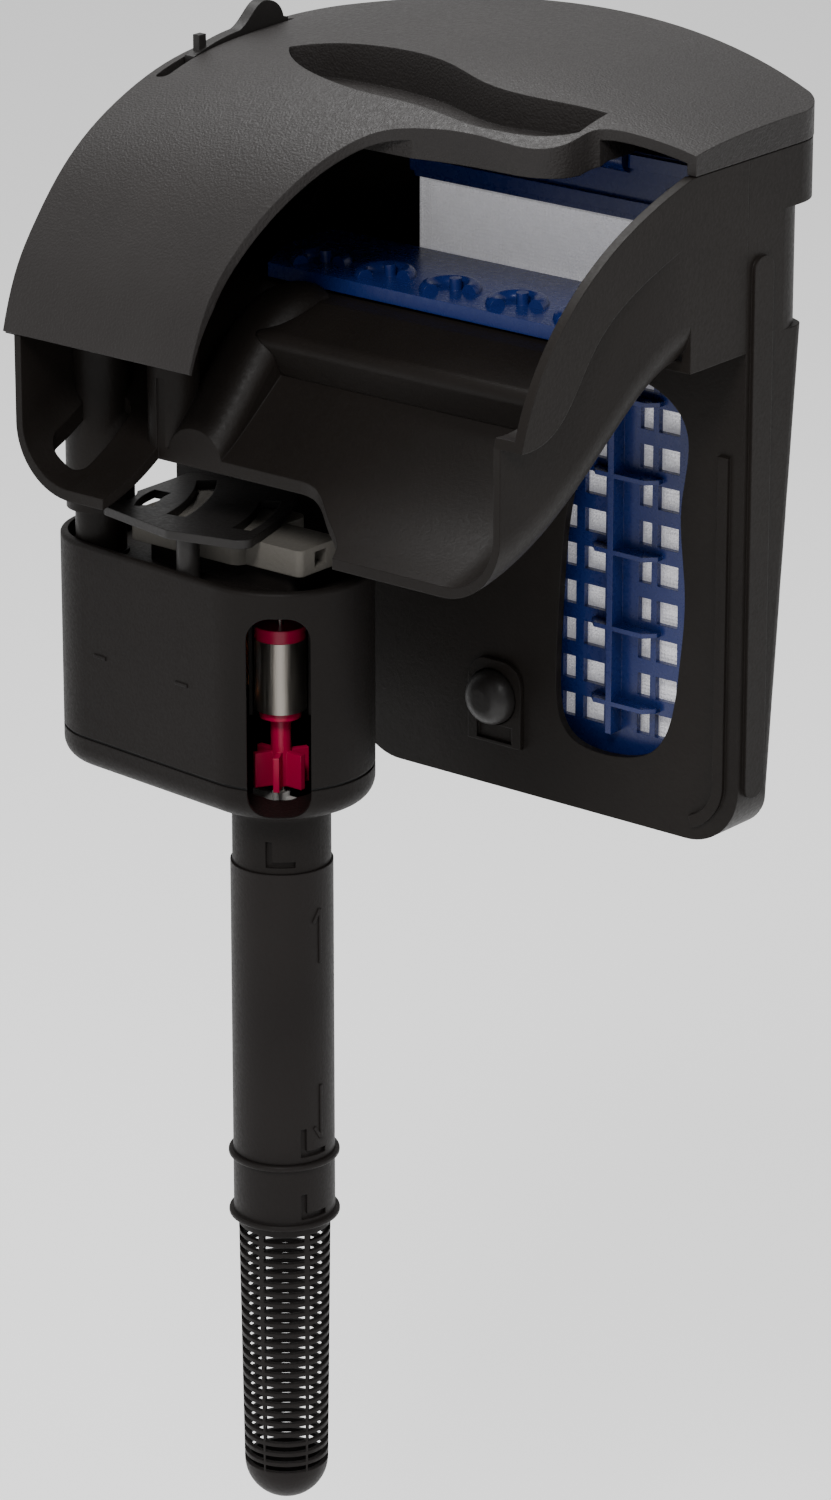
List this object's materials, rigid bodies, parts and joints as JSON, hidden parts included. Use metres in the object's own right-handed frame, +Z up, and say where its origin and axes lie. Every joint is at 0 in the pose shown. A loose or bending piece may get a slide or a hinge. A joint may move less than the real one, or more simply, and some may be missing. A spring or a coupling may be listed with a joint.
{
  "type": "hang-on-back aquarium filter",
  "caption": "Hang-on-back aquarium power filter, cut away to show its rotor, media chamber and spillway, with an intake tube and strainer.",
  "frame": {"origin": "middle of the flat underside of the bridge, where the filter rests on the top of the tank wall", "axes": "+Z up, +X along the tank wall towards the free end of the hood, +Y away from the tank (the media chamber hangs outside)"},
  "size_m": [0.2002, 0.159, 0.442],
  "materials": {
    "lid_plastic": "fine leather grain, matt warm black",
    "case_plastic": "smooth matt brown-black",
    "pump_plastic": "smooth matt brown-black",
    "intake_plastic": "smooth matt black",
    "control_plastic": "satin black",
    "blue_plastic": "semi-gloss royal blue",
    "floss": "white needled floss with a lilac cast",
    "carbon": "black granules",
    "damper_rubber": "matt grey olive",
    "gasket_rubber": "matt black",
    "magnet_steel": "turned dull metal",
    "crimson_plastic": "semi-gloss crimson",
    "shaft_steel": "polished",
    "bush_ceramic": "pale ceramic",
    "lamination_steel": "dull laminated steel",
    "copper_winding": "enamelled copper"
  },
  "bodies": {
    "case": {"media_chamber": "case_plastic", "spillway": "case_plastic", "pump_bracket": "case_plastic", "spill_lip": "case_plastic", "uptake_duct": "case_plastic", "level_plate": "case_plastic"},
    "lid": {"lid": "lid_plastic"},
    "flow_control": {"flow_slider": "control_plastic", "flow_shutter": "control_plastic"},
    "level_adjuster": {"level_knob": "control_plastic"},
    "cartridge": {"cartridge_frame": "blue_plastic", "floss_bag": "floss", "carbon_fill": "carbon"},
    "bio_scrubber": {"bio_grid": "blue_plastic"},
    "pump": {"pump_housing": "pump_plastic", "pump_deck": "pump_plastic", "outlet_pipe": "pump_plastic", "duct_gasket": "gasket_rubber", "damper_block": "damper_rubber", "retaining_clip": "control_plastic", "clip_post": "control_plastic", "post_washer": "bush_ceramic", "cable_gland": "gasket_rubber", "rotor_well": "pump_plastic", "rotor_shaft": "shaft_steel", "upper_bush": "bush_ceramic", "stator_core": "lamination_steel", "front_coil": "copper_winding", "rear_coil": "copper_winding"},
    "rotor": {"rotor_magnet": "magnet_steel", "magnet_disc": "crimson_plastic", "impeller": "crimson_plastic"},
    "cap": {"pump_cap": "pump_plastic", "cap_gasket": "gasket_rubber", "lower_bush": "bush_ceramic"},
    "intake_tube": {"extension_tube": "intake_plastic"},
    "intake_coupler": {"coupler": "intake_plastic"},
    "intake_strainer": {"strainer": "intake_plastic"}
  },
  "joints": [
    {"name": "lid_lift", "type": "slide", "parent": "case", "child": "lid", "axis": [0, 0, 1], "range_m": [0, 0.26]},
    {"name": "cartridge_lift", "type": "slide", "parent": "case", "child": "cartridge", "axis": [0, 0, 1], "range_m": [0, 0.208]},
    {"name": "bio_lift", "type": "slide", "parent": "case", "child": "bio_scrubber", "axis": [0, 0, 1], "range_m": [0, 0.208]},
    {"name": "flow_slide", "type": "slide", "parent": "case", "child": "flow_control", "axis": [0, -1, 0], "range_m": [0, 0.011]},
    {"name": "level_push", "type": "slide", "parent": "case", "child": "level_adjuster", "axis": [0, -1, 0], "range_m": [0, 0.006]},
    {"name": "pump_drop", "type": "slide", "parent": "case", "child": "pump", "axis": [0, 0, -1], "range_m": [0, 0.04]},
    {"name": "rotor_spin", "type": "hinge", "parent": "pump", "child": "rotor", "pos_m": [-0.029, -0.041, -0.11], "axis": [0, 0, 1], "continuous": true},
    {"name": "cap_release", "type": "slide", "parent": "pump", "child": "cap", "axis": [0, 0, -1], "range_m": [0, 0.03]},
    {"name": "tube_extend", "type": "slide", "parent": "cap", "child": "intake_tube", "axis": [0, 0, -1], "range_m": [0, 0.03]},
    {"name": "coupler_twist", "type": "hinge", "parent": "intake_tube", "child": "intake_coupler", "pos_m": [-0.029, -0.041, -0.26], "axis": [0, 0, 1], "range_deg": [0, 25]},
    {"name": "strainer_pull", "type": "slide", "parent": "intake_coupler", "child": "intake_strainer", "axis": [0, 0, -1], "range_m": [0, 0.03]}
  ],
  "couplings": [
    {"joint": "cartridge_lift", "follows": "lid_lift", "ratio": 0.8},
    {"joint": "bio_lift", "follows": "lid_lift", "ratio": 0.8}
  ]
}
